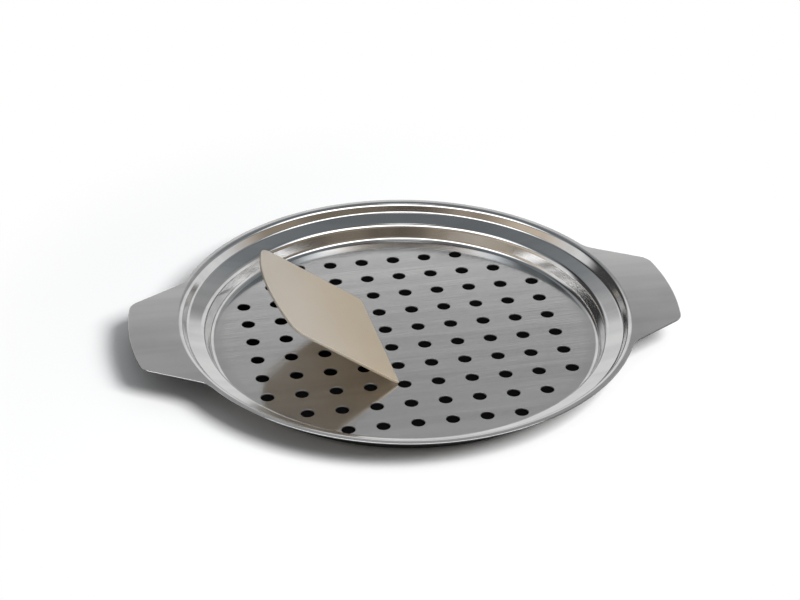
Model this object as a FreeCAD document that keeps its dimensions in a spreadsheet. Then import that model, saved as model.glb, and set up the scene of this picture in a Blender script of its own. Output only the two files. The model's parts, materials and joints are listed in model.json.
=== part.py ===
import FreeCAD, Part
import math
import os
import Sketcher

# Spaetzle plate with its dough scraper, in millimetres.
#
# The plate is one pressed stainless sheet: a perforated floor, a wall up to the ledge that seats on
# a pot's rim, a second step up to a narrow flange, and two wing handles drawn out of the flange.
# The scraper is a thin plastic card that leans back from its working edge.
#
# Frame: +Z up, X along the two wings, Z = 0 at the underside of the floor, the Z axis through the
# middle of the plate.

# name, size, what it is
SIZES = [
    ("sheet_thickness", 0.8, "stainless sheet"),
    ("floor_radius", 115.5, "axis to the foot of the well's wall, on the upper side"),
    ("well_depth", 9.5, "floor up to the ledge's inner edge"),
    ("well_flare", 3.4, "how far the well's wall leans outwards over its height"),
    ("ledge_width", 10.2, "top of the well's wall to the foot of the rim's wall"),
    ("ledge_rise", 2.7, "how much higher the ledge's outer edge lies than its inner edge"),
    ("rim_step", 5.5, "the ledge's outer edge up to the flange"),
    ("rim_flare", 3.3, "how far the rim's wall leans outwards over its height"),
    ("flange_width", 4.4, "top of the rim's wall to the trimmed edge"),
    ("well_bend_radius", 3.4, "inside radius of the bends at the foot and top of the well's wall"),
    ("rim_bend_radius", 2.6, "inside radius of the bends at the foot and top of the rim's wall"),
    ("trim_radius", 0.25, "rounding of the trimmed edge"),
    ("wing_length", 26.7, "trimmed edge of the flange to the end of a wing"),
    ("wing_tip_width", 71.4, "across a wing's end, before its corners are rounded"),
    ("wing_root_width", 116.0, "across a wing where it meets the middle of the flange"),
    ("wing_tip_radius", 11.0, "rounding of a wing's two outer corners"),
    ("wing_root_radius", 18.0, "hollow between a wing's side and the round rim"),
    ("hole_pitch", 20.0, "between neighbouring holes, both ways"),
    ("hole_diameter", 7.8, "holes in the floor"),
    ("hole_land", 7.5, "least floor left between a hole and the well's wall"),
    ("hole_edge_break", 0.2, "chamfer round each hole's upper edge"),
    ("card_width", 95.0, "scraper's working edge"),
    ("card_side", 75.2, "scraper's straight sides"),
    ("card_arch", 9.4, "rise of the arched back edge above its two corners"),
    ("card_thickness", 1.5, "scraper's plate"),
    ("card_bevel_length", 5.0, "width of the bevel under the working edge"),
    ("card_edge_thickness", 0.8, "working edge, after the bevel"),
    ("card_back_radius", 10.0, "scraper's two back corners"),
    ("card_front_radius", 1.5, "scraper's two corners at the working edge"),
    ("card_round", 0.2, "rounding of the scraper's moulded edges"),
    ("card_lean_angle", 36.5, "degrees between the floor and the scraper"),
    ("card_turn_angle", 3.3, "degrees that the stroke is turned away from X"),
    ("card_station", -16.6, "working edge from the middle of the plate, along the stroke"),
    ("card_shift", -1.5, "middle of the working edge, across the stroke"),
    ("card_clearance", 0.25, "working edge above the floor"),
]

# Heights and radii that follow from the driving sizes.
LEDGE_RADIUS = "(sizes.floor_radius + sizes.well_flare)"
RIM_FOOT_RADIUS = f"({LEDGE_RADIUS} + sizes.ledge_width)"
RIM_TOP_RADIUS = f"({RIM_FOOT_RADIUS} + sizes.rim_flare)"
RIM_RADIUS = f"({RIM_TOP_RADIUS} + sizes.flange_width)"
LEDGE_OUTER_HEIGHT = "(sizes.well_depth + sizes.ledge_rise)"
RIM_HEIGHT = f"({LEDGE_OUTER_HEIGHT} + sizes.rim_step)"
WING_REACH = f"({RIM_RADIUS} + sizes.wing_length)"
WING_ROOT_ARC = f"({RIM_RADIUS} - sizes.flange_width / 2)"
CARD_BEVEL_DEPTH = "(sizes.card_thickness - sizes.card_edge_thickness)"

NEAR = 1e-4

# Numbers of a sketch piece's points, and the sketch's own origin as a (piece, point) pair.
START, END, CENTRE = range(1, 4)
ORIGIN = (-1, START)

doc = FreeCAD.newDocument("spaetzle_plate")


def fill_sheet():
    """One row per size: its name, its value and what it is."""
    sheet = doc.addObject("Spreadsheet::Sheet", "sizes")
    for row, (name, value, note) in enumerate(SIZES, start=1):
        sheet.set(f"A{row}", name)
        sheet.set(f"B{row}", str(value))
        sheet.set(f"C{row}", note)
        sheet.setAlias(f"B{row}", name)
    doc.recompute()
    return sheet


sheet = fill_sheet()


def size(expression):
    """The number that an expression on the sheet gives now; a bare name is one size."""
    if expression.isidentifier():
        expression = f"sizes.{expression}"
    return float(sheet.evalExpression(expression))


def origin_plane(body, role):
    return next(plane for plane in body.Origin.OriginFeatures if plane.Role == role)


def new_sketch(body, name, role):
    sketch = body.newObject("Sketcher::SketchObject", name)
    sketch.AttachmentSupport = (origin_plane(body, role), [""])
    sketch.MapMode = "FlatFace"
    return sketch


def drive(sketch, kind, *where, by):
    """A constraint whose value is the expression `by`."""
    index = sketch.addConstraint(Sketcher.Constraint(kind, *where, size(by)))
    sketch.setExpression(f"Constraints[{index}]", by)


def join_ends(sketch, first, last):
    """Each piece of geometry ends where the next one starts, and the last ends at the first."""
    for piece in range(first, last + 1):
        following = first if piece == last else piece + 1
        sketch.addConstraint(Sketcher.Constraint("Coincident", piece, END, following, START))


def line(sketch, start, end):
    """A straight piece between two points given as (x, y) pairs."""
    return sketch.addGeometry(Part.LineSegment(FreeCAD.Vector(*start), FreeCAD.Vector(*end)), False)


def edge_names(shape, wanted):
    """Names of the shape's edges for which `wanted` is true."""
    return [f"Edge{number}" for number, edge in enumerate(shape.Edges, start=1) if wanted(edge)]


def is_ring(edge, radius, height):
    """A circle about the Z axis with this radius, at this height."""
    curve = edge.Curve
    return (
        isinstance(curve, Part.Circle)
        and abs(curve.Radius - radius) < NEAR
        and abs(curve.Center.z - height) < NEAR
        and math.hypot(curve.Center.x, curve.Center.y) < NEAR
    )


def is_upright(edge, radius):
    """A straight edge parallel to Z, at this distance from the Z axis."""
    if not isinstance(edge.Curve, (Part.Line, Part.LineSegment)):
        return False
    low = edge.Vertexes[0].Point
    high = edge.Vertexes[-1].Point
    upright = math.hypot(high.x - low.x, high.y - low.y) < NEAR
    return upright and abs(math.hypot(low.x, low.y) - radius) < NEAR


def dress(body, kind, name, base, wanted, amount):
    """A fillet or chamfer on the edges of `base` that `wanted` picks, of the size `amount`."""
    edges = edge_names(base.Shape, wanted)
    if not edges:
        raise RuntimeError(f"{name}: no edge found")
    feature = body.newObject(f"PartDesign::{kind}", name)
    feature.Base = (base, edges)
    feature.setExpression("Radius" if kind == "Fillet" else "Size", amount)
    doc.recompute()
    return feature


def press_section(body):
    """Half section of the pressed sheet: five runs on the upper side, the same five below."""
    lower = [
        (0, 0),
        (size("floor_radius"), 0),
        (size(LEDGE_RADIUS), size("well_depth")),
        (size(RIM_FOOT_RADIUS), size(LEDGE_OUTER_HEIGHT)),
        (size(RIM_TOP_RADIUS), size(RIM_HEIGHT)),
        (size(RIM_RADIUS), size(RIM_HEIGHT)),
    ]
    upper = [(radius, height + size("sheet_thickness")) for radius, height in lower]
    outline = upper + lower[::-1]
    section = new_sketch(body, "press_section", "XZ_Plane")
    for start, end in zip(outline, outline[1:] + outline[:1]):
        line(section, start, end)
    floor, well, ledge_top, rim, flange_top, trim = range(6)
    flange_under, rim_under, ledge_under, well_under, floor_under, axis = range(6, 12)
    join_ends(section, floor, axis)
    section.addConstraint(Sketcher.Constraint("Coincident", axis, START, *ORIGIN))
    for level in (floor, flange_top, flange_under, floor_under):
        section.addConstraint(Sketcher.Constraint("Horizontal", level))
    for upright in (trim, axis):
        section.addConstraint(Sketcher.Constraint("Vertical", upright))
    for above, below in ((well, well_under), (ledge_top, ledge_under), (rim, rim_under)):
        section.addConstraint(Sketcher.Constraint("Parallel", above, below))
    for point, face in (
        ((axis, END), floor_under),
        ((ledge_under, START), ledge_top),
        ((trim, END), flange_top),
        ((well_under, START), well),
        ((rim_under, START), rim),
    ):
        drive(section, "Distance", *point, face, by="sizes.sheet_thickness")
    drive(section, "DistanceX", *ORIGIN, floor, END, by="sizes.floor_radius")
    drive(section, "DistanceX", well, START, well, END, by="sizes.well_flare")
    drive(section, "DistanceY", well, START, well, END, by="sizes.well_depth")
    drive(section, "DistanceX", ledge_top, START, ledge_top, END, by="sizes.ledge_width")
    drive(section, "DistanceY", ledge_top, START, ledge_top, END, by="sizes.ledge_rise")
    drive(section, "DistanceX", rim, START, rim, END, by="sizes.rim_flare")
    drive(section, "DistanceY", rim, START, rim, END, by="sizes.rim_step")
    drive(section, "DistanceX", flange_top, START, flange_top, END, by="sizes.flange_width")
    return section


def bend_edges(section):
    """The (radius, height) of each sharp bend of the section, upper side then lower side."""
    upper = [section.getPoint(run, END) for run in range(4)]
    lower = [section.getPoint(run, END) for run in range(9, 5, -1)]
    return [(p.x, p.y) for p in upper], [(p.x, p.y) for p in lower]


def bend_sheet(body, base, section):
    """Round the bends: the sheet keeps its thickness, so the outside radius adds it."""
    upper, lower = bend_edges(section)
    foot, lip, step, brow = range(4)
    for name, radius, bends in (
        ("well", "sizes.well_bend_radius", ((upper, foot, lower), (lower, lip, upper))),
        ("rim", "sizes.rim_bend_radius", ((upper, step, lower), (lower, brow, upper))),
    ):
        inside = [side[bend] for side, bend, _ in bends]
        outside = [side[bend] for _, bend, side in bends]
        for label, rings, amount in (
            (f"{name}_bends_inside", inside, radius),
            (f"{name}_bends_outside", outside, f"{radius} + sizes.sheet_thickness"),
        ):
            base = dress(
                body, "Fillet", label, base,
                lambda edge: any(is_ring(edge, *ring) for ring in rings), amount,
            )
    return base


def wing_outline(body):
    """A wing's flat outline: it tapers from the middle of the flange to an arc about the axis."""
    reach = size(WING_REACH)
    root_arc = size(WING_ROOT_ARC)
    tip_half = size("wing_tip_width") / 2
    root_half = size("wing_root_width") / 2
    tip_angle = math.asin(tip_half / reach)
    root_angle = math.asin(root_half / root_arc)
    tip = (reach * math.cos(tip_angle), tip_half)
    root = (root_arc * math.cos(root_angle), root_half)
    outline = new_sketch(body, "wing_outline", "XY_Plane")
    outline.setExpression("AttachmentOffset.Base.z", RIM_HEIGHT)
    middle = FreeCAD.Vector(0, 0, 0)
    up = FreeCAD.Vector(0, 0, 1)
    end_arc = outline.addGeometry(
        Part.ArcOfCircle(Part.Circle(middle, up, reach), -tip_angle, tip_angle), False)
    left_side = line(outline, tip, root)
    inner_arc = outline.addGeometry(
        Part.ArcOfCircle(Part.Circle(middle, up, root_arc), -root_angle, root_angle), False)
    right_side = line(outline, (root[0], -root[1]), (tip[0], -tip[1]))
    for one, other in (
        ((end_arc, END), (left_side, START)),
        ((left_side, END), (inner_arc, END)),
        ((inner_arc, START), (right_side, START)),
        ((right_side, END), (end_arc, START)),
        ((end_arc, CENTRE), ORIGIN),
        ((inner_arc, CENTRE), ORIGIN),
    ):
        outline.addConstraint(Sketcher.Constraint("Coincident", *one, *other))
    drive(outline, "Radius", end_arc, by=WING_REACH)
    drive(outline, "Radius", inner_arc, by=WING_ROOT_ARC)
    drive(outline, "DistanceY", *ORIGIN, end_arc, END, by="sizes.wing_tip_width / 2")
    drive(outline, "DistanceY", end_arc, START, *ORIGIN, by="sizes.wing_tip_width / 2")
    drive(outline, "DistanceY", *ORIGIN, inner_arc, END, by="sizes.wing_root_width / 2")
    drive(outline, "DistanceY", inner_arc, START, *ORIGIN, by="sizes.wing_root_width / 2")
    return outline


def add_wings(body):
    """Both wings, flush with the flange, with their corners rounded."""
    wing = body.newObject("PartDesign::Pad", "wing")
    wing.Profile = wing_outline(body)
    wing.setExpression("Length", "sizes.sheet_thickness")
    doc.recompute()
    wings = body.newObject("PartDesign::PolarPattern", "wings")
    wings.Originals = [wing]
    wings.Axis = (origin_plane(body, "Z_Axis"), [""])
    wings.Angle = 360
    wings.Occurrences = 2
    body.Tip = wings
    doc.recompute()
    reach = size(WING_REACH)
    rim_radius = size(RIM_RADIUS)
    tips = dress(
        body, "Fillet", "wing_tips", wings,
        lambda edge: is_upright(edge, reach), "sizes.wing_tip_radius",
    )
    return dress(
        body, "Fillet", "wing_roots", tips,
        lambda edge: is_upright(edge, rim_radius), "sizes.wing_root_radius",
    )


def hole_cells():
    """Lattice cells of one quarter whose hole leaves the land beside the well's wall."""
    pitch = size("hole_pitch")
    furthest = size("floor_radius") - size("hole_land") - size("hole_diameter") / 2
    count = math.ceil(furthest / pitch)
    cells = [(column, row) for row in range(count) for column in range(count)]
    return [cell for cell in cells if math.hypot(cell[0] + 0.5, cell[1] + 0.5) * pitch <= furthest]


def pierce_floor(body, base):
    """Round holes on a square grid: one quarter is drawn, then mirrored across both middle planes."""
    pitch = size("hole_pitch")
    radius = size("hole_diameter") / 2
    quarter = new_sketch(body, "quarter_of_holes", "XY_Plane")
    up = FreeCAD.Vector(0, 0, 1)
    for number, (column, row) in enumerate(hole_cells()):
        middle = FreeCAD.Vector((column + 0.5) * pitch, (row + 0.5) * pitch, 0)
        hole = quarter.addGeometry(Part.Circle(middle, up, radius), False)
        drive(quarter, "DistanceX", *ORIGIN, hole, CENTRE, by=f"sizes.hole_pitch * {column + 0.5}")
        drive(quarter, "DistanceY", *ORIGIN, hole, CENTRE, by=f"sizes.hole_pitch * {row + 0.5}")
        if number == 0:
            drive(quarter, "Diameter", hole, by="sizes.hole_diameter")
        else:
            quarter.addConstraint(Sketcher.Constraint("Equal", 0, hole))
    punch = body.newObject("PartDesign::Pocket", "punch")
    punch.Profile = quarter
    punch.Type = "ThroughAll"
    punch.Reversed = True
    doc.recompute()
    before = base.Shape.Volume
    one_hole = math.pi * radius ** 2 * size("sheet_thickness")
    removed = before - punch.Shape.Volume
    if abs(removed - one_hole * len(hole_cells())) > 0.01 * removed:
        raise RuntimeError("the punch cut the wrong amount")
    field = body.newObject("PartDesign::MultiTransform", "hole_field")
    field.Originals = [punch]
    mirrors = []
    for name, role in (("across_x", "YZ_Plane"), ("across_y", "XZ_Plane")):
        mirror = body.newObject("PartDesign::Mirrored", name)
        mirror.MirrorPlane = (origin_plane(body, role), [""])
        mirrors.append(mirror)
    field.Transformations = mirrors
    body.Tip = field
    doc.recompute()
    floor_top = size("sheet_thickness")
    return dress(
        body, "Chamfer", "hole_edges", field,
        lambda edge: isinstance(edge.Curve, Part.Circle)
        and abs(edge.Curve.Radius - radius) < NEAR
        and abs(edge.Curve.Center.z - floor_top) < NEAR,
        "sizes.hole_edge_break",
    )


def is_trimmed(edge):
    """On the flange's outer edge or a wing's, on the upper or the lower side of the sheet."""
    under = size(RIM_HEIGHT)
    middle = edge.valueAt((edge.FirstParameter + edge.LastParameter) / 2)
    outside = math.hypot(middle.x, middle.y) > size(RIM_RADIUS) - NEAR
    return outside and any(
        all(abs(vertex.Point.z - level) < NEAR for vertex in edge.Vertexes)
        for level in (under, under + size("sheet_thickness"))
    )


def make_plate():
    body = doc.addObject("PartDesign::Body", "perforated_plate")
    pressing = body.newObject("PartDesign::Revolution", "pressing")
    section = press_section(body)
    pressing.Profile = section
    pressing.ReferenceAxis = (section, ["V_Axis"])
    pressing.Angle = 360
    doc.recompute()
    bend_sheet(body, pressing, section)
    winged = add_wings(body)
    trimmed = dress(body, "Fillet", "trimmed_edge", winged, is_trimmed, "sizes.trim_radius")
    pierce_floor(body, trimmed)
    return body


def card_outline(body):
    """The scraper's outline: a straight working edge, straight sides and an arched back."""
    half = size("card_width") / 2
    side = size("card_side")
    arch = size("card_arch")
    outline = new_sketch(body, "card_outline", "XY_Plane")
    outline.AttachmentOffset = FreeCAD.Placement(
        FreeCAD.Vector(0, 0, 0), FreeCAD.Rotation(FreeCAD.Vector(0, 1, 0), size("card_lean_angle")))
    outline.setExpression("AttachmentOffset.Rotation.Angle", "sizes.card_lean_angle * 1 deg")
    working_edge = line(outline, (0, -half), (0, half))
    far_side = line(outline, (0, half), (-side, half))
    back = outline.addGeometry(
        Part.Arc(
            FreeCAD.Vector(-side, half, 0),
            FreeCAD.Vector(-side - arch, 0, 0),
            FreeCAD.Vector(-side, -half, 0),
        ),
        False,
    )
    near_side = line(outline, (-side, -half), (0, -half))
    join_ends(outline, working_edge, near_side)
    outline.addConstraint(Sketcher.Constraint("Vertical", working_edge))
    outline.addConstraint(Sketcher.Constraint("PointOnObject", working_edge, START, -2))
    outline.addConstraint(Sketcher.Constraint("Horizontal", far_side))
    outline.addConstraint(Sketcher.Constraint("Horizontal", near_side))
    drive(outline, "DistanceY", *ORIGIN, working_edge, END, by="sizes.card_width / 2")
    drive(outline, "DistanceY", working_edge, START, *ORIGIN, by="sizes.card_width / 2")
    drive(outline, "DistanceX", far_side, END, far_side, START, by="sizes.card_side")
    drive(outline, "DistanceX", near_side, START, near_side, END, by="sizes.card_side")
    arch_radius = "((sizes.card_width / 2) ^ 2 + sizes.card_arch ^ 2) / (2 * sizes.card_arch)"
    drive(outline, "Radius", back, by=arch_radius)
    return outline


def in_card(point):
    """A point in the scraper's own flat frame: x forwards to the working edge, z through it."""
    lean = FreeCAD.Rotation(FreeCAD.Vector(0, 1, 0), size("card_lean_angle"))
    return lean.inverted().multVec(point)


def card_edge(edge, where):
    """Whether both ends of an edge satisfy `where`, in the scraper's flat frame."""
    return all(where(in_card(vertex.Point)) for vertex in edge.Vertexes)


def make_scraper():
    body = doc.addObject("PartDesign::Body", "dough_scraper")
    card = body.newObject("PartDesign::Pad", "card")
    card.Profile = card_outline(body)
    card.setExpression("Length", "sizes.card_thickness")
    doc.recompute()
    side = size("card_side")
    thick = size("card_thickness")
    bevel_end = size("card_bevel_length")

    def is_back_corner(edge):
        return edge.Length < thick + NEAR and card_edge(edge, lambda p: abs(p.x + side) < NEAR)

    def is_front_corner(edge):
        return edge.Length < thick + NEAR and card_edge(edge, lambda p: abs(p.x) < NEAR)

    def is_lower_front(edge):
        return card_edge(edge, lambda p: abs(p.x) < NEAR and abs(p.z) < NEAR)

    def is_moulded(edge):
        first, last = (in_card(vertex.Point) for vertex in (edge.Vertexes[0], edge.Vertexes[-1]))
        upright = math.hypot(last.x - first.x, last.y - first.y) < NEAR
        crease = card_edge(edge, lambda p: abs(p.x + bevel_end) < NEAR)
        return not upright and not crease

    back = dress(body, "Fillet", "back_corners", card, is_back_corner, "sizes.card_back_radius")
    bevel = dress(body, "Chamfer", "bevel", back, is_lower_front, CARD_BEVEL_DEPTH)
    bevel.ChamferType = "Two distances"
    bevel.FlipDirection = True
    bevel.setExpression("Size2", "sizes.card_bevel_length")
    doc.recompute()
    bevel_area = size(CARD_BEVEL_DEPTH) * bevel_end / 2
    removed = back.Shape.Volume - bevel.Shape.Volume
    if abs(removed - bevel_area * size("card_width")) > 0.01 * removed:
        raise RuntimeError("the bevel cut the wrong amount")
    front = dress(
        body, "Fillet", "front_corners", bevel, is_front_corner, "sizes.card_front_radius",
    )
    dress(body, "Fillet", "moulded_edges", front, is_moulded, "sizes.card_round")
    body.Placement = FreeCAD.Placement(
        FreeCAD.Vector(0, 0, 0),
        FreeCAD.Rotation(FreeCAD.Vector(0, 0, 1), size("card_turn_angle")))
    along = "cos(sizes.card_turn_angle * 1 deg)"
    across = "sin(sizes.card_turn_angle * 1 deg)"
    edge_height = f"{CARD_BEVEL_DEPTH} * cos(sizes.card_lean_angle * 1 deg)"
    body.setExpression("Placement.Rotation.Angle", "sizes.card_turn_angle * 1 deg")
    body.setExpression("Placement.Base.x",
                       f"sizes.card_station * {along} - sizes.card_shift * {across}")
    body.setExpression("Placement.Base.y",
                       f"sizes.card_station * {across} + sizes.card_shift * {along}")
    body.setExpression("Placement.Base.z",
                       f"sizes.sheet_thickness + sizes.card_clearance - {edge_height}")
    doc.recompute()
    return body


def check(bodies):
    """Nothing failed, and each body is one valid solid."""
    for thing in doc.Objects:
        if "Invalid" in thing.State or "Error" in thing.State:
            raise RuntimeError(f"{thing.Name}: {thing.State}")
    for body in bodies:
        shape = body.Shape
        if shape.isNull() or not shape.isValid() or len(shape.Solids) != 1:
            raise RuntimeError(f"{body.Label}: not one valid solid")


def write(bodies):
    os.makedirs("parts", exist_ok=True)
    for body in bodies:
        body.Shape.exportStep(f"parts/{body.Label}.step")
        box = body.Shape.optimalBoundingBox()
        print(f"{body.Label}: {body.Shape.Volume:.1f} mm3, "
              f"X {box.XMin:.2f}..{box.XMax:.2f}, Y {box.YMin:.2f}..{box.YMax:.2f}, "
              f"Z {box.ZMin:.2f}..{box.ZMax:.2f}")


bodies = [make_plate(), make_scraper()]
doc.recompute()
check(bodies)
write(bodies)
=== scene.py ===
import bpy
import json
import math
import numpy as np
from mathutils import Matrix

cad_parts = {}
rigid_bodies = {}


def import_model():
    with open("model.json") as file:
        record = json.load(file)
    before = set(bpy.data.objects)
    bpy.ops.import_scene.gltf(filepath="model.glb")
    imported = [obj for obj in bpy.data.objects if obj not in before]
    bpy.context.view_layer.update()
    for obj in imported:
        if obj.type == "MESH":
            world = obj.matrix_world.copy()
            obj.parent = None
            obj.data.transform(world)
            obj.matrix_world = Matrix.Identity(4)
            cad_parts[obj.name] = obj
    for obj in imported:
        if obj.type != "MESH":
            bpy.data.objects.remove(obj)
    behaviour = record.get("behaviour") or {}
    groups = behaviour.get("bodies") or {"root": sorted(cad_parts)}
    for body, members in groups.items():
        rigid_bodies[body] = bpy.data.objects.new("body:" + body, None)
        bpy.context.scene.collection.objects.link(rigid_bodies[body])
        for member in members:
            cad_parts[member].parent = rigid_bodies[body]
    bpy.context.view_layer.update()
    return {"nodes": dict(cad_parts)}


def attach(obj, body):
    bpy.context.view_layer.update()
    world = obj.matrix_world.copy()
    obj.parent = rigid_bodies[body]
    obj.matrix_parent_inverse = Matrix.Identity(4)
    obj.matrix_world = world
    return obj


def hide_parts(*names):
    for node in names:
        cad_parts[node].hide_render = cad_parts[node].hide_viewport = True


for spare in list(bpy.data.objects):
    bpy.data.objects.remove(spare)

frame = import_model()

mm = 0.001        # the pressed plate is worked out in millimetres
weldDecimals = 4  # points that agree to this many decimals of a millimetre are one


def gridQuads(rows, columns):
    # Quad (i, j) joins the points (i, j), (i, j + 1), (i + 1, j + 1) and (i + 1, j). The columns
    # close round and the rows stay open.
    row, column = np.meshgrid(np.arange(rows - 1), np.arange(columns), indexing="ij")
    after = (column + 1) % columns
    corners = (row * columns + column, row * columns + after,
               (row + 1) * columns + after, (row + 1) * columns + column)
    return np.stack([corner.ravel() for corner in corners], axis=1)


def joinGrids(grids):
    # Grids of points (rows, columns, 3) become one list of points and one of quads, welded where
    # their edges meet.
    points, quads, start = [], [], 0
    for grid in grids:
        rows, columns = grid.shape[:2]
        points.append(grid.reshape(-1, 3))
        quads.append(gridQuads(rows, columns) + start)
        start += rows * columns
    points, quads = np.concatenate(points), np.concatenate(quads)
    rounded = np.round(points, weldDecimals)
    _, first, back = np.unique(rounded, axis=0, return_index=True, return_inverse=True)
    return points[first], back.ravel()[quads]


def enclosed(points, quads):
    # Volume inside a closed surface: the sum of the signed tetrahedra to the origin, two per quad.
    a, b, c, d = (points[quads[:, k]] for k in range(4))
    return (a * (np.cross(b, c) + np.cross(c, d))).sum() / 6


def linked(name, data):
    thing = bpy.data.objects.new(name, data)
    bpy.context.scene.collection.objects.link(thing)
    return thing


def meshObject(name, points, quads, sharpAngle):
    # The quads are turned round where they enclose a negative volume, so that they point outwards.
    volume = enclosed(points, quads)
    if volume < 0:
        quads = quads[:, ::-1]
    mesh = bpy.data.meshes.new(name)
    mesh.from_pydata((points * mm).tolist(), [], quads.tolist())
    mesh.update()
    mesh.validate()
    mesh.shade_smooth()
    mesh.set_sharp_from_angle(angle=math.radians(sharpAngle))
    print(name, len(points), "points", len(quads), "quads", round(abs(volume), 1), "mm3")
    return linked(name, mesh)


class Wire:
    # A socket of a node tree. An expression on wires and numbers adds its Math nodes.
    def __init__(self, graph, socket):
        self.graph, self.socket = graph, socket

    def __add__(self, other):
        return self.graph.maths("ADD", self, other)

    def __radd__(self, other):
        return self.graph.maths("ADD", other, self)

    def __sub__(self, other):
        return self.graph.maths("SUBTRACT", self, other)

    def __rsub__(self, other):
        return self.graph.maths("SUBTRACT", other, self)

    def __mul__(self, other):
        return self.graph.maths("MULTIPLY", self, other)

    def __rmul__(self, other):
        return self.graph.maths("MULTIPLY", other, self)

    def __truediv__(self, other):
        return self.graph.maths("DIVIDE", self, other)

    def __rtruediv__(self, other):
        return self.graph.maths("DIVIDE", other, self)

    def between(self, low, high):
        # 0 below low, 1 above high, smooth in between
        return self.graph.node("ShaderNodeMapRange", {"interpolation_type": "SMOOTHSTEP"},
                               {"Value": self, "From Min": low, "From Max": high})

    def fading(self, low, high):
        # 1 below low, 0 above high, smooth in between
        return 1 - self.between(low, high)


class Graph:
    # The emptied node tree of a material or a world.
    def __init__(self, owner):
        owner.use_nodes = True
        self.tree = owner.node_tree
        self.tree.nodes.clear()

    def node(self, kind, settings=None, values=None, outputs=(0,)):
        # Adds a node: first its settings, then the value or link of each socket. Gives its outputs.
        made = self.tree.nodes.new(kind)
        for key, value in (settings or {}).items():
            setattr(made, key, value)
        for key, value in (values or {}).items():
            if isinstance(value, Wire):
                self.tree.links.new(value.socket, made.inputs[key])
            else:
                made.inputs[key].default_value = value
        wires = [Wire(self, made.outputs[name]) for name in outputs]
        return wires[0] if len(wires) == 1 else wires

    def maths(self, operation, *terms):
        return self.node("ShaderNodeMath", {"operation": operation}, dict(enumerate(terms)))

    def distance(self, x, y):
        # The root of x squared plus y squared.
        return self.maths("SQRT", x * x + y * y)

    def axes(self):
        # The place on the piece, or the direction in a world, whole and as x, y and z.
        place = self.node("ShaderNodeTexCoord", outputs=("Object",))
        return place, self.node("ShaderNodeSeparateXYZ", {}, {0: place}, ("X", "Y", "Z"))

    def point(self, x, y, z):
        return self.node("ShaderNodeCombineXYZ", {}, {0: x, 1: y, 2: z})

    def noise(self, place, settings):
        return self.node("ShaderNodeTexNoise", {}, {"Vector": place, **settings})

    def mix(self, amount, first, second):
        # Colour `first` where the amount is 0, `second` where it is 1.
        return self.node("ShaderNodeMix", {"data_type": "RGBA"}, {0: amount, 6: first, 7: second}, (2,))

    def mixShaders(self, amount, first, second):
        return self.node("ShaderNodeMixShader", {}, {0: amount, 1: first, 2: second})


white = (1, 1, 1, 1)

# The pressed plate, in millimetres.
plate = {
    "sheet": 0.8,
    "floorRadius": 115.5,                   # where the floor's and the wall's straight runs meet
    "wellFlare": 3.4, "wellDepth": 9.5,     # the wall: out and up
    "ledgeWidth": 10.2, "ledgeRise": 2.7,   # the ledge that lies on the pot's rim
    "rimFlare": 3.3, "rimStep": 5.5,        # the second step
    "flangeWidth": 4.4,
    "wellBend": 3.4, "rimBend": 2.6,        # inside radii of the bends
    "trimRound": 0.25,                      # the broken edge of the trimmed outline
    "wingLength": 26.7,                     # how far a wing reaches beyond the round rim
    "wingTip": 71.4, "wingRoot": 116.0,     # its width at the end and where it leaves the flange
    "tipRound": 11.0, "rootRound": 18.0,
    "pitch": 20.0, "holeRadius": 3.9, "holeBreak": 0.2,
    "holeLand": 7.5,                        # floor left between the outermost holes and the wall
    "floorEdge": 111.0,                     # the lattice of hole cells ends here at the latest
    "support": 0.15,                        # width of the rows of faces beside a bend
    "cellSteps": 12, "bendSteps": 8,        # faces along a cell's side and round a bend
    "flangeSteps": 4, "trimSteps": 3,       # faces across the flange or wing and round its edge, per side
    "wingMargin": 1.0,                      # degrees of round rim that belong to the wing's stretch
    "sharpAngle": 25.0,                     # degrees from which an edge is drawn sharp
}

# Sample points along each stretch of a wing's outline, and how closely the faces follow there.
wingStretches = {
    "end": (400, 1.0), "tip": (200, 3.0), "side": (200, 0.6), "root": (200, 2.0), "rim": (100, 1.0),
}


def rimRadius():
    # The floor and every run beyond it, added up.
    widths = ("floorRadius", "wellFlare", "ledgeWidth", "rimFlare", "flangeWidth")
    return sum(plate[width] for width in widths)


def bentProfile():
    # Upper side of the sheet in (radius, height): straight runs joined by arcs of the bend's inside
    # radius, plus the sheet where the upper side is the outer one. An arc begins radius * tan(half
    # the turn) before the corner. Gives the points and their upward normals.
    p = plate
    steps = ((0, 0), (p["floorRadius"], 0), (p["wellFlare"], p["wellDepth"]),
             (p["ledgeWidth"], p["ledgeRise"]), (p["rimFlare"], p["rimStep"]), (p["flangeWidth"], 0))
    corners = np.cumsum(np.array(steps), axis=0) + (0, p["sheet"])
    radii = (p["wellBend"], p["wellBend"] + p["sheet"], p["rimBend"], p["rimBend"] + p["sheet"])
    points, normals = [], []
    for previous, corner, following, radius in zip(corners, corners[1:], corners[2:], radii):
        before, after = corner - previous, following - corner
        start, end = np.arctan2(before[1], before[0]), np.arctan2(after[1], after[0])
        side = np.sign(end - start)
        tangent = radius * math.tan(abs(end - start) / 2)
        along = before / np.hypot(*before)
        first = corner - along * tangent
        centre = first + side * radius * np.array((-along[1], along[0]))
        turn = np.linspace(start, end, p["bendSteps"] + 1)
        normal = np.stack((-np.sin(turn), np.cos(turn)), axis=1)
        arc = centre - side * radius * normal
        last = arc[-1] + p["support"] * after / np.hypot(*after)
        points += [first - p["support"] * along, *arc, last]
        normals += [normal[0], *normal, normal[-1]]
    return np.array(points), np.array(normals)


def fourfold(quarter):
    # A path from the X axis to the Y axis, mirrored round the other three quarters.
    flipped = quarter[::-1] * (-1, 1)
    half = np.concatenate((quarter[:-1], flipped[:-1]))
    return np.concatenate((half, -half))


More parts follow.
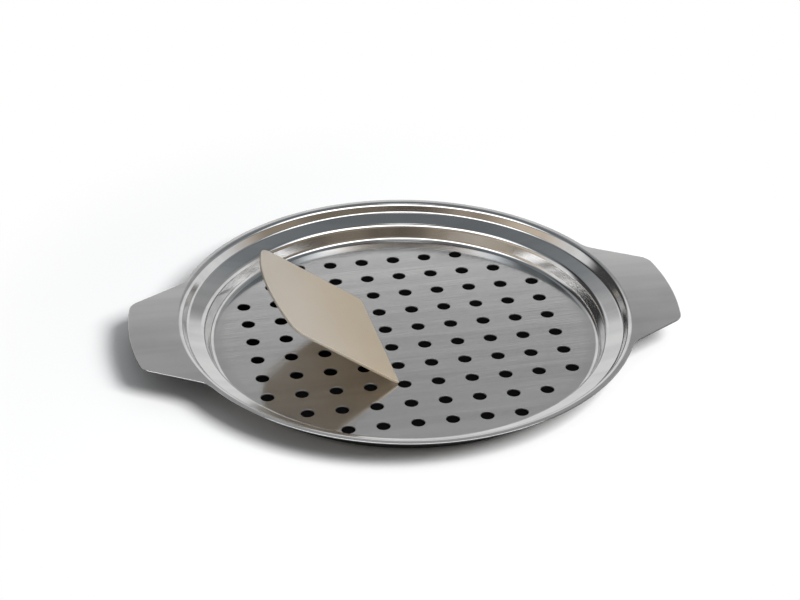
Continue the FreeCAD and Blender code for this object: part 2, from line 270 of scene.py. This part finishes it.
def furthestHole():
    # The floor's radius less the land beside the wall and the hole's own radius.
    return plate["floorRadius"] - plate["holeLand"] - plate["holeRadius"]


def holeCells():
    # Cells (i, j) of one quarter whose middle, (i + 1/2, j + 1/2) pitches out, may have a hole.
    furthest = furthestHole() / plate["pitch"]
    side = range(math.ceil(furthest))
    return [(i, j) for j in side for i in side if math.hypot(i + 0.5, j + 0.5) <= furthest]


def pulledIn(points):
    # Lattice points further out than the flat floor's edge move straight in to it.
    shrink = plate["floorEdge"] / np.maximum(np.hypot(points[..., 0], points[..., 1]), plate["floorEdge"])
    return points * shrink[..., None]


def latticeEdge():
    # Stepped outer edge of the cells of one quarter, each cell's side cut into equal steps.
    cells = holeCells()
    counts = [sum(row == j for _, row in cells) for j in range(max(row for _, row in cells) + 1)]
    path = [(counts[0], 0)]
    for row, count in enumerate(counts):
        following = counts[row + 1] if row + 1 < len(counts) else 0
        path += [(count, row + 1)] + ([(following, row + 1)] if following != count else [])
    share = np.arange(plate["cellSteps"]) / plate["cellSteps"]
    points = []
    for a, b in zip(np.array(path[:-1], float), np.array(path[1:], float)):
        cellsLong = int(np.abs(b - a).sum())
        for k in range(cellsLong):
            points += list(a + (b - a) * ((k + share) / cellsLong)[:, None])
    points.append(np.array(path[-1], float))
    return np.array(points) * plate["pitch"]


def angleOf(v):
    return math.atan2(v[1], v[0])


def directions(turn):
    # The unit vectors (cos, sin) of an array of angles.
    return np.stack((np.cos(turn), np.sin(turn)), axis=1)


def wingRoundings():
    # A wing's side is the line from its tip to its root. The centre of a rounding lies where that
    # line, moved by the rounding's radius, meets the end arc or the rim, moved by it as well. Gives
    # the side's outward normal and both centres.
    p, rim = plate, rimRadius()
    reach, foot = rim + p["wingLength"], rim - p["flangeWidth"] / 2
    tip, root = (np.array((math.sqrt(radius ** 2 - width ** 2 / 4), width / 2))
                 for radius, width in ((reach, p["wingTip"]), (foot, p["wingRoot"])))
    along = (root - tip) / np.hypot(*(root - tip))
    outward = np.array((along[1], -along[0]))

    def centre(offset, distance):
        base = tip + offset * outward
        half = base @ along
        return base - (half + math.sqrt(half ** 2 - base @ base + distance ** 2)) * along

    tipCentre = centre(-p["tipRound"], reach - p["tipRound"])
    rootCentre = centre(p["rootRound"], rim + p["rootRound"])
    return outward, tipCentre, rootCentre


def arcStretch(name, centre, radius, start, end):
    # Points, outward normals and weights of an arc: centre + radius * (cos, sin). A negative radius
    # is a hollow, whose normals point to its centre.
    count, weight = wingStretches[name]
    away = directions(np.linspace(start, end, count))
    return np.array(centre) + radius * away, away, np.full(count, weight)


def wingPath(endAngle):
    # Half of a wing's outline from the X axis to the round rim: end arc, rounded tip, straight side,
    # hollow root, rim. Gives points, outward normals and weights.
    p, rim = plate, rimRadius()
    outward, tipCentre, rootCentre = wingRoundings()
    sideAngle, rootAngle = angleOf(outward), angleOf(rootCentre)
    sideStart, sideEnd = tipCentre + p["tipRound"] * outward, rootCentre - p["rootRound"] * outward
    count, weight = wingStretches["side"]
    share = np.linspace(0, 1, count)[:, None]
    stretches = (
        arcStretch("end", (0, 0), rim + p["wingLength"], 0, angleOf(tipCentre)),
        arcStretch("tip", tipCentre, p["tipRound"], angleOf(tipCentre), sideAngle),
        (sideStart + share * (sideEnd - sideStart), np.tile(outward, (count, 1)), np.full(count, weight)),
        arcStretch("root", rootCentre, -p["rootRound"], sideAngle, rootAngle),
        arcStretch("rim", (0, 0), rim, rootAngle, endAngle),
    )
    return (np.concatenate(parts) for parts in zip(*stretches))


def trimmedOutline(angles):
    # Outline points and normals for one quarter, one per ring angle: the wing's share is spread along
    # its own weighted length, and the rest lies on the round rim.
    wingAngle = angleOf(wingRoundings()[2]) + math.radians(plate["wingMargin"])
    lastOnWing = int(np.searchsorted(angles, wingAngle))
    points, normals, weight = wingPath(angles[lastOnWing])
    step = np.hypot(*np.diff(points, axis=0).T) * (weight[1:] + weight[:-1]) / 2
    travelled = np.concatenate(((0,), np.cumsum(step)))
    wanted = np.linspace(0, travelled[-1], lastOnWing + 1)
    onWing, wingNormals = (np.stack([np.interp(wanted, travelled, values) for values in part.T], axis=1)
                           for part in (points, normals))
    wingNormals /= np.hypot(*wingNormals.T)[:, None]
    away = directions(angles[lastOnWing + 1:])
    return np.concatenate((onWing, rimRadius() * away)), np.concatenate((wingNormals, away))


def flat(points, height):
    # Points (x, y) at one height.
    return np.concatenate((points, np.full((len(points), 1), height)), axis=1)


def sheetGrid():
    # Loops round the whole plate, from the edge of the lattice over the upper side of the bends and
    # the wings, round the trimmed edge and back under the sheet to the edge of the lattice below.
    p, sheet = plate, plate["sheet"]
    quarter = latticeEdge()
    angles = np.arctan2(quarter[:, 1], quarter[:, 0])
    outline, outward = (fourfold(part) for part in trimmedOutline(angles))
    edge, ring = pulledIn(fourfold(quarter)), fourfold(directions(angles))
    profile, normals = bentProfile()
    under = profile - sheet * normals
    flangeRadius, flangeTop = profile[-1]
    inner = ring * flangeRadius
    rounded = outline - outward * p["trimRound"]
    beside = rounded - outward * p["support"]
    shares = np.linspace(0, 1, p["flangeSteps"] + 1)[1:]
    turns = np.linspace(0, math.pi / 2, p["trimSteps"] + 1)

    def across(share, height):
        return flat(inner + share * (beside - inner), height)

    def trimmed(turn, height, side):
        # A quarter turn off the upper side (1) or the lower side (-1).
        return flat(rounded + outward * p["trimRound"] * math.sin(turn),
                    height - side * p["trimRound"] * (1 - math.cos(turn)))

    return np.array([
        flat(edge, sheet),
        *[flat(ring * radius, height) for radius, height in profile],
        *[across(share, flangeTop) for share in shares],
        *[trimmed(turn, flangeTop, 1) for turn in turns],
        *[trimmed(turn, flangeTop - sheet, -1) for turn in turns[::-1]],
        *[across(share, flangeTop - sheet) for share in shares[::-1]],
        *[flat(ring * radius, height) for radius, height in under[::-1]],
        flat(edge, 0),
    ])


def holeGrids():
    # One grid per cell: its square border below, the hole's lower edge, the foot of the broken edge,
    # the upper edge and the border above.
    p, sheet = plate, plate["sheet"]
    steps = p["cellSteps"]
    side = np.stack((np.ones(steps), np.arange(steps) / steps * 2 - 1), axis=1)
    quarterTurn = np.array(((0, 1), (-1, 0)))
    square = np.concatenate([side @ np.linalg.matrix_power(quarterTurn, k) for k in range(4)])
    circle = directions(-math.pi / 4 + np.arange(4 * steps) / (4 * steps) * 2 * math.pi)
    hole, broken = circle * p["holeRadius"], circle * (p["holeRadius"] + p["holeBreak"])
    grids = []
    for column, row in holeCells():
        for signX in (-1, 1):
            for signY in (-1, 1):
                middle = np.array((signX * (column + 0.5), signY * (row + 0.5))) * p["pitch"]
                border = pulledIn(middle + square * p["pitch"] / 2)
                grids.append(np.array([
                    flat(border, 0),
                    flat(middle + hole, 0),
                    flat(middle + hole, sheet - p["holeBreak"]),
                    flat(middle + broken, sheet),
                    flat(border, sheet),
                ]))
    return grids


pressedPlate = meshObject("pressedPlate", *joinGrids([sheetGrid(), *holeGrids()]), plate["sharpAngle"])
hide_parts("perforated_plate")
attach(pressedPlate, "plate")

# The plate's finish. Places are in metres.
steel = {
    "bright": (0.65, 0.65, 0.645, 1), "dull": (0.55, 0.55, 0.555, 1),
    "cutEdgeAndShade": (0.16, 0.16, 0.16, 1),       # the cut edges of the holes: duller sheared steel, darkened further by painted shade
    "polish": (0.08, 0.12),                 # roughness of the smoothest and of the dullest patches
    "scrapedMore": 0.10, "bandMore": 0.03, "punchedMore": 0.35,    # roughness added to it
    "strokeTurn": 3.3,                      # degrees from the X axis to the scraper's stroke
    "lineStretch": (14.0, 1400.0),          # fine lines: steps per metre along and across the stroke
    "lineNoise": {"Scale": 1.0, "Detail": 3.0, "Roughness": 0.6}, "lineAt": (0.52, 0.72),
    "bandStretch": (5.0, 75.0),             # rolled bands: steps per metre along X and Y
    "bandNoise": {"Scale": 1.0, "Detail": 2.0, "Roughness": 0.5}, "bandAt": (0.35, 0.65),
    "patchNoise": {"Scale": 28.0, "Detail": 3.0, "Roughness": 0.55},
    "patchAt": (0.35, 0.7), "patchShare": 0.35, "polishAt": (0.3, 0.7),
    "floorTo": (0.105, 0.113),              # the lines end at this distance from the middle
    "scrapedFrom": (-0.02, 0.03),           # the scraped side begins at this X
    "punchedWidth": (0.1, 0.3),             # millimetres round a hole
    "bump": {"Strength": 0.12, "Distance": 0.0002}, "bumpPatches": 0.2,
}


def makeSteel():
    # Two greys and a polish mixed by soft patches and bands, fine lines on the floor, dark cut edges that
    # are partly painted shade.
    s = steel
    material = bpy.data.materials.new("satinSteel")
    graph = Graph(material)
    place, (x, y, _) = graph.axes()
    # Fine lines along the stroke: noise squeezed hard across the stroke and stretched along it.
    turn = math.radians(s["strokeTurn"])
    along = (x * math.cos(turn) + y * math.sin(turn)) * s["lineStretch"][0]
    across = (y * math.cos(turn) - x * math.sin(turn)) * s["lineStretch"][1]
    lines = graph.noise(graph.point(along, across, 0.0), s["lineNoise"])
    onFloor = graph.distance(x, y).fading(*s["floorTo"])
    scraped = lines.between(*s["lineAt"]) * onFloor * x.between(*s["scrapedFrom"])
    # Broad soft bands of the rolled sheet run along X.
    stretchX, stretchY = s["bandStretch"]
    bands = graph.noise(graph.point(x * stretchX, y * stretchY, 0.0), s["bandNoise"])
    patches = graph.noise(place, s["patchNoise"])
    dullness = patches.between(*s["patchAt"]) * s["patchShare"]
    dullness = dullness + bands.between(*s["bandAt"]) * (1 - s["patchShare"])
    smoothest, dullest = s["polish"]
    rough = patches.between(*s["polishAt"]) * (dullest - smoothest) + smoothest
    rough = rough + scraped * s["scrapedMore"] + bands * s["bandMore"]
    # The cut edges are dull and dark, partly sheared steel and partly painted shade: the way to the middle
    # of the cell, if the cell has a hole.
    cellX, cellY = (v / (plate["pitch"] * mm) for v in (x, y))
    offX, offY = (graph.maths("FRACT", cell) - 0.5 for cell in (cellX, cellY))
    cellDistance = graph.distance(cellX - offX, cellY - offY)
    hasHole = graph.maths("LESS_THAN", cellDistance, furthestHole() / plate["pitch"])
    inner, outer = (plate["holeRadius"] + width for width in s["punchedWidth"])
    cutEdgeAndShade = (graph.distance(offX, offY) * plate["pitch"]).fading(inner, outer) * hasHole
    colour = graph.mix(cutEdgeAndShade, graph.mix(dullness, s["bright"], s["dull"]), s["cutEdgeAndShade"])
    height = lines * onFloor + patches * s["bumpPatches"]
    bump = graph.node("ShaderNodeBump", {}, {**s["bump"], "Height": height})
    shader = graph.node("ShaderNodeBsdfPrincipled", {}, {
        "Base Color": colour, "Metallic": 1.0, "Roughness": rough + cutEdgeAndShade * s["punchedMore"],
        "Normal": bump})
    graph.node("ShaderNodeOutputMaterial", {}, {"Surface": shader}, ())
    print(material.name, len(graph.tree.nodes), "nodes")
    return material


pressedPlate.data.materials.append(makeSteel())

# The scraper's finish.
card = {
    # The warm front is painted light: the dough's colour showing through the card near the working edge.
    "warm": (0.375, 0.305, 0.215, 1), "pale": (0.43, 0.385, 0.33, 1),
    "backAt": (-0.075, -0.03), "backSlope": 0.058,    # X of the pale back and of the warm front, per Y
    "backShare": 0.8,                                 # the rest of the colour's change is in clouds
    "cloudNoise": {"Scale": 35.0, "Detail": 2.0, "Roughness": 0.5}, "cloudAt": (0.3, 0.75),
    "roughness": 0.32, "cloudMore": 0.12,
    "milk": {"Subsurface Weight": 0.8, "Subsurface Radius": (0.8, 0.8, 0.8),
             "Subsurface Scale": 0.008, "Transmission Weight": 0.15, "IOR": 1.49},
}


def makePlastic():
    # Cooler and paler at the back and warmer towards the working edge, which is painted light: the dough's
    # colour showing through the card near that edge. Faintly cloudy as well.
    c = card
    material = bpy.data.materials.new("milkyPlastic")
    graph = Graph(material)
    place, (x, y, _) = graph.axes()
    clouds = graph.noise(place, c["cloudNoise"])
    # Painted light: warmer towards the working edge, where the dough's colour shows through the card.
    backwards = (x + y * c["backSlope"]).fading(*c["backAt"])
    paleness = backwards * c["backShare"] + clouds.between(*c["cloudAt"]) * (1 - c["backShare"])
    shader = graph.node("ShaderNodeBsdfPrincipled", {}, {
        "Base Color": graph.mix(paleness, c["warm"], c["pale"]),
        "Roughness": clouds * c["cloudMore"] + c["roughness"], **c["milk"]})
    graph.node("ShaderNodeOutputMaterial", {}, {"Surface": shader}, ())
    print(material.name, len(graph.tree.nodes), "nodes")
    return material


scraper = frame["nodes"]["dough_scraper"]
scraper.data.materials.clear()
scraper.data.materials.append(makePlastic())
print("scraper", len(scraper.data.polygons), "faces")

# The floor that the plate stands on, in metres.
stage = {
    "half": 6.0, "height": -0.0005,
    "floor": (0.88, 0.88, 0.88, 1),
    "unseen": (0.16, 0.16, 0.16, 1),        # to every ray that isn't the camera's
    "below": (0.003, 0.003, 0.003, 1),      # to the camera, straight below the holes: painted shade, nearly black
    "paintedShadeTo": (0.110, 0.114), "whiteFrom": (0.16, 0.30),    # distances from the middle
}


def makeStage():
    # To the camera: nearly black straight below the holes, painted shade like the inside of a pot, pale
    # round the plate and plain white further away. To all other rays it is dim.
    square = np.array(((-1, -1), (1, -1), (1, 1), (-1, 1)))
    mesh = bpy.data.meshes.new("paleFloor")
    mesh.from_pydata(flat(square * stage["half"], stage["height"]).tolist(), [], [(0, 1, 2, 3)])
    floor = linked("paleFloor", mesh)
    material = bpy.data.materials.new("paleFloor")
    graph = Graph(material)
    seen = graph.node("ShaderNodeLightPath", outputs=("Is Camera Ray",))
    _, (x, y, _) = graph.axes()
    away = graph.distance(x, y)
    dim = graph.mix(seen, stage["unseen"], stage["below"])
    # Nearly black painted shade under the plate, seen through the holes, pale beyond it
    colour = graph.mix(seen * away.between(*stage["paintedShadeTo"]), dim, stage["floor"])
    pale = graph.node("ShaderNodeBsdfDiffuse", {}, {"Color": colour})
    plain = graph.node("ShaderNodeEmission", {}, {"Color": white, "Strength": 1.0})
    shader = graph.mixShaders(seen * away.between(*stage["whiteFrom"]), pale, plain)
    graph.node("ShaderNodeOutputMaterial", {}, {"Surface": shader}, ())
    mesh.materials.append(material)
    print("stage floor", 2 * stage["half"], "m wide")


makeStage()


def aimed(place, aim, roll=0.0):
    # At `place`, with the Z axis pointing away from `aim` and the X axis level, then rolled about Z
    # by degrees: X is straight up crossed with Z, and Y is Z crossed with X.
    away = np.array(place) - np.array(aim)
    backward = away / np.linalg.norm(away)
    right = np.cross((0, 0, 1), backward)
    right = right / np.linalg.norm(right)
    axes = np.array((right, np.cross(backward, right), backward)).T
    turned = Matrix(axes.tolist()).to_4x4() @ Matrix.Rotation(math.radians(roll), 4, "Z")
    return Matrix.Translation(place) @ turned


# One square soft lamp, hidden from mirror rays.
overhead = {"place": (1.12, -1.14, 1.78), "aim": (0, 0.1, 0), "side": 1.1, "watts": 70.0}


def makeLamp():
    lamp = bpy.data.lights.new("overhead", "AREA")
    lamp.shape, lamp.size, lamp.energy = "SQUARE", overhead["side"], overhead["watts"]
    thing = linked("overhead", lamp)
    thing.matrix_world = aimed(overhead["place"], overhead["aim"])
    thing.visible_glossy = False
    print("lamp", overhead["watts"], "W")


makeLamp()

# The surroundings. Directions are (x to the right, y to the back, z up), and a pair of numbers is a
# soft step from the first to the second.
studio = {
    "sky": 0.40, "skyAt": (0.25, 0.45),
    "split": (-0.3, 0.2), "splitTurn": 0.15,          # from the room in front to the wall behind
    "wall": 0.93, "above": 0.33, "ceiling": 0.22,     # behind: the wall, above its edge, the ceiling
    "edgeAt": (0.496, 0.524), "edgeTilt": 0.06, "edgeLevelAt": 0.16, "ceilingAt": (0.60, 0.87),
    "patch": 0.26, "patchSide": (-0.06, 0.05), "patchTop": (0.53, 0.64),
    "band": 0.10, "bandFrom": (0.535, 0.565), "bandTo": (0.60, 0.70),
    "room": 0.13, "roomStretch": (2.6, 2.6, 0.8), "roomAt": (0.3, 0.7), "uneven": 0.6,
    "roomNoise": {"Scale": 1.0, "Detail": 1.0, "Roughness": 0.4},
    "glow": 0.18, "glowFrom": (0.0, 0.35), "glowTo": (0.42, 0.6), "leftward": (-0.7, -0.1),
    "roomDim": 0.8, "roomDimAt": (0.88, 0.94),
    "lamp": 2.8, "lampFrom": (0.635, 0.665), "gap": 0.96, "gapFrom": (0.89, 0.93), "gapTo": (0.985, 0.998),
    "dark": 0.93, "darkSide": (-0.44, -0.22), "darkBack": (0.40, 0.56), "darkTop": (0.72, 0.86),
    "cool": (0.88, 0.95, 1.0, 1), "coolAt": (0.55, 0.75), "warm": (1.0, 0.84, 0.66, 1),
}


def makeWorld():
    # Plain white to the camera, a soft sky to matt surfaces, and to mirrors a room made of soft steps
    # in the direction's x, y and z.
    s = studio
    world = bpy.data.worlds.new("studio")
    bpy.context.scene.world = world
    graph = Graph(world)
    seen, mirrored = graph.node("ShaderNodeLightPath", outputs=("Is Camera Ray", "Is Glossy Ray"))
    _, (x, y, z) = graph.axes()
    # Behind: a white wall up to its tilted edge, dimmer above it, and a dimmer ceiling.
    edge = (z + (x - s["edgeLevelAt"]) * s["edgeTilt"]).between(*s["edgeAt"])
    ceiling = z.between(*s["ceilingAt"])
    back = s["wall"] + edge * (s["above"] - s["wall"]) + ceiling * (s["ceiling"] - s["above"])
    # A pale patch above the edge on the left, and a faint band all along above the edge.
    back = back + x.fading(*s["patchSide"]) * z.fading(*s["patchTop"]) * edge * s["patch"]
    back = back + z.between(*s["bandFrom"]) * z.fading(*s["bandTo"]) * s["band"]
    # In front: a dim, uneven room, brighter low down and to the left.
    glow = z.between(*s["glowFrom"]) * z.fading(*s["glowTo"])
    stretched = graph.point(*(v * stretch for v, stretch in zip((x, y, z), s["roomStretch"])))
    unevenness = graph.noise(stretched, s["roomNoise"]).between(*s["roomAt"])
    front = (glow * s["glow"] + s["room"]) * (x.fading(*s["leftward"]) + 1)
    front = front * (unevenness * s["uneven"] + (1 - s["uneven"] / 2))
    front = front * (1 - z.between(*s["roomDimAt"]) * s["roomDim"])
    # Above the room a wide lamp, with a dark gap before its second part overhead.
    gap = z.between(*s["gapFrom"]) - z.between(*s["gapTo"])
    lamp = z.between(*s["lampFrom"]) * (1 - gap * s["gap"])
    front = front + lamp * s["lamp"]
    behind = (y + x * s["splitTurn"]).between(*s["split"])
    # The left end of what is behind is dark.
    dark = x.fading(*s["darkSide"]) * y.between(*s["darkBack"]) * z.fading(*s["darkTop"])
    room = (behind * (back - front) + front) * (1 - dark * s["dark"])
    sky = z.between(*s["skyAt"]) * s["sky"]
    tint = graph.mix(behind * z.between(*s["coolAt"]), white, s["cool"])
    tint = graph.mix(mirrored * (1 - behind) * (1 - lamp), tint, s["warm"])
    lit = graph.node("ShaderNodeBackground", {}, {"Color": tint, "Strength": mirrored * (room - sky) + sky})
    plain = graph.node("ShaderNodeBackground", {}, {"Color": white, "Strength": 1.0})
    graph.node("ShaderNodeOutputWorld", {}, {"Surface": graph.mixShaders(seen, lit, plain)}, ())
    print("world", len(graph.tree.nodes), "nodes")


makeWorld()

# The camera: millimetres for the lens and the sensor, metres for the places, degrees for the roll.
view = {
    "lens": 105.007, "sensor": 36.0,
    "place": (-0.235672, -1.153058, 0.745288), "aim": (0.00541, 0.04299, 0), "roll": 0.6994,
}


def makeCamera():
    camera = bpy.data.cameras.new("camera")
    camera.lens, camera.sensor_width = view["lens"], view["sensor"]
    thing = linked("camera", camera)
    thing.matrix_world = aimed(view["place"], view["aim"], view["roll"])
    bpy.context.scene.camera = thing
    print("camera", view["lens"], "mm")


makeCamera()
bpy.context.scene.view_settings.view_transform = "Standard"
